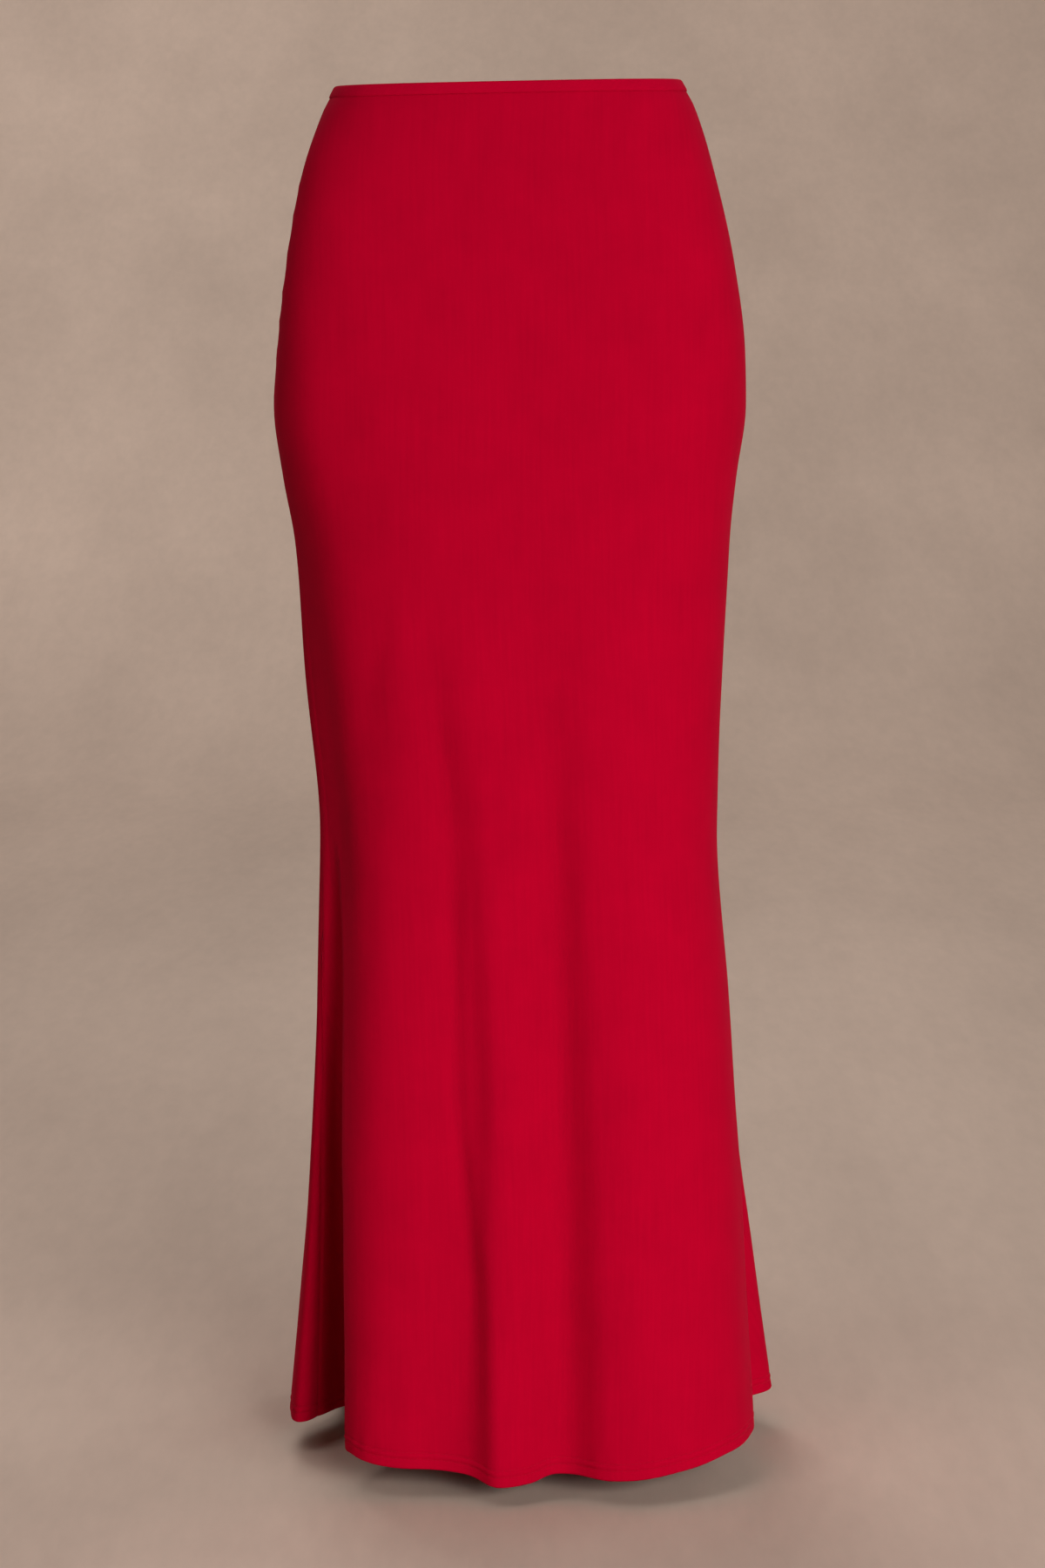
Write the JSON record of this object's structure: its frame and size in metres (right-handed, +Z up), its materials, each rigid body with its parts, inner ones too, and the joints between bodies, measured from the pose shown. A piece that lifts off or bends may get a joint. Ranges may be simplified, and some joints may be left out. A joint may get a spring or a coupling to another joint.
{
  "type": "fishtail maxi skirt",
  "caption": "Long jersey skirt in its worn form, close at the hips and knees, with a narrow waistband, flaring below the knee to a wavy floor-length hem.",
  "frame": {"origin": "centre of the waist opening, at the waistband's top edge, where the wearer's waist holds the skirt", "axes": "+Z up, towards the waist; -Y is the way the front faces; +X is to the right of someone who looks at the front"},
  "size_m": [0.3789, 0.4366, 1.0225],
  "materials": {
    "red_jersey": "fine matt red stretch jersey with a soft velvety sheen",
    "band_jersey": "the same red jersey, folded double over a narrow band"
  },
  "bodies": {
    "root": {"front_panel": "red_jersey", "back_panel": "red_jersey", "waistband": "band_jersey"}
  },
  "joints": []
}
